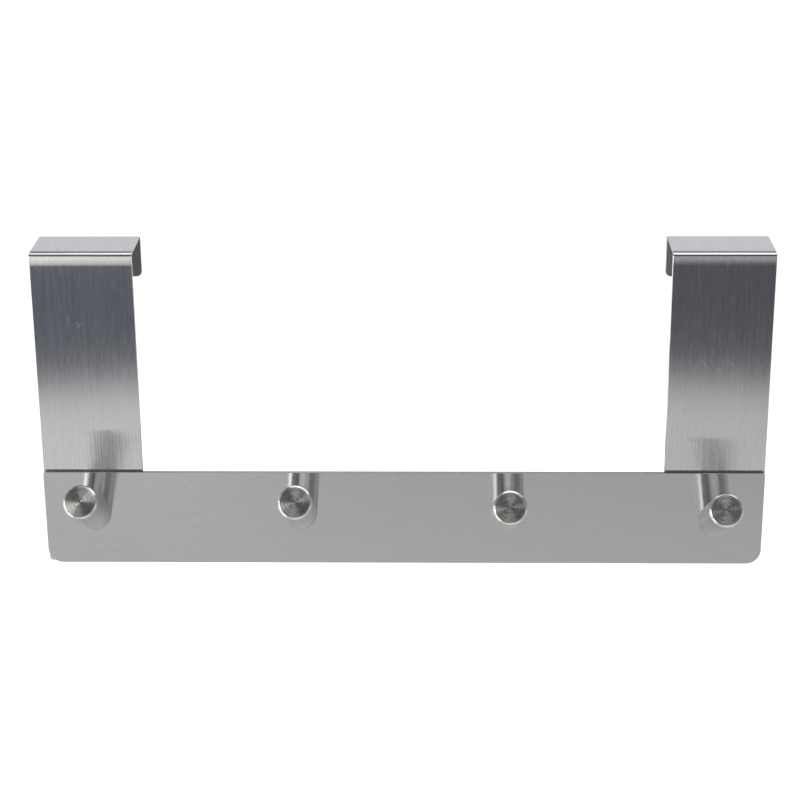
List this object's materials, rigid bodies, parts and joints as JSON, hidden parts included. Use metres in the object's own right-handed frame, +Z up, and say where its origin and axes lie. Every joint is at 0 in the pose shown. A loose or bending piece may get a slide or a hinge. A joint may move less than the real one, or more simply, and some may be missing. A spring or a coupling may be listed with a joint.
{
  "type": "over door hook",
  "caption": "Flat brushed steel rail with slanted round pegs, carried by folded steel straps that hook over the top edge of a door.",
  "frame": {"origin": "the door's top front edge, midway between the straps, in the pose in which the part hangs", "axes": "+X along the rail to the right as seen from the front, +Y into the door, +Z up; the pegs point to -Y and upwards"},
  "size_m": [0.36, 0.0769, 0.1625],
  "materials": {
    "rail_steel": "brushed along its length",
    "strap_steel": "brushed up and down, polished by the folds",
    "peg_steel": "turned, with a bright chamfer and fine rings on the end",
    "screw_steel": "plain"
  },
  "bodies": {
    "root": {"rail": "rail_steel", "strap_left": "strap_steel", "strap_right": "strap_steel", "peg_outer_left": "peg_steel", "peg_inner_left": "peg_steel", "peg_inner_right": "peg_steel", "peg_outer_right": "peg_steel", "fixing_screws": "screw_steel"}
  },
  "joints": []
}
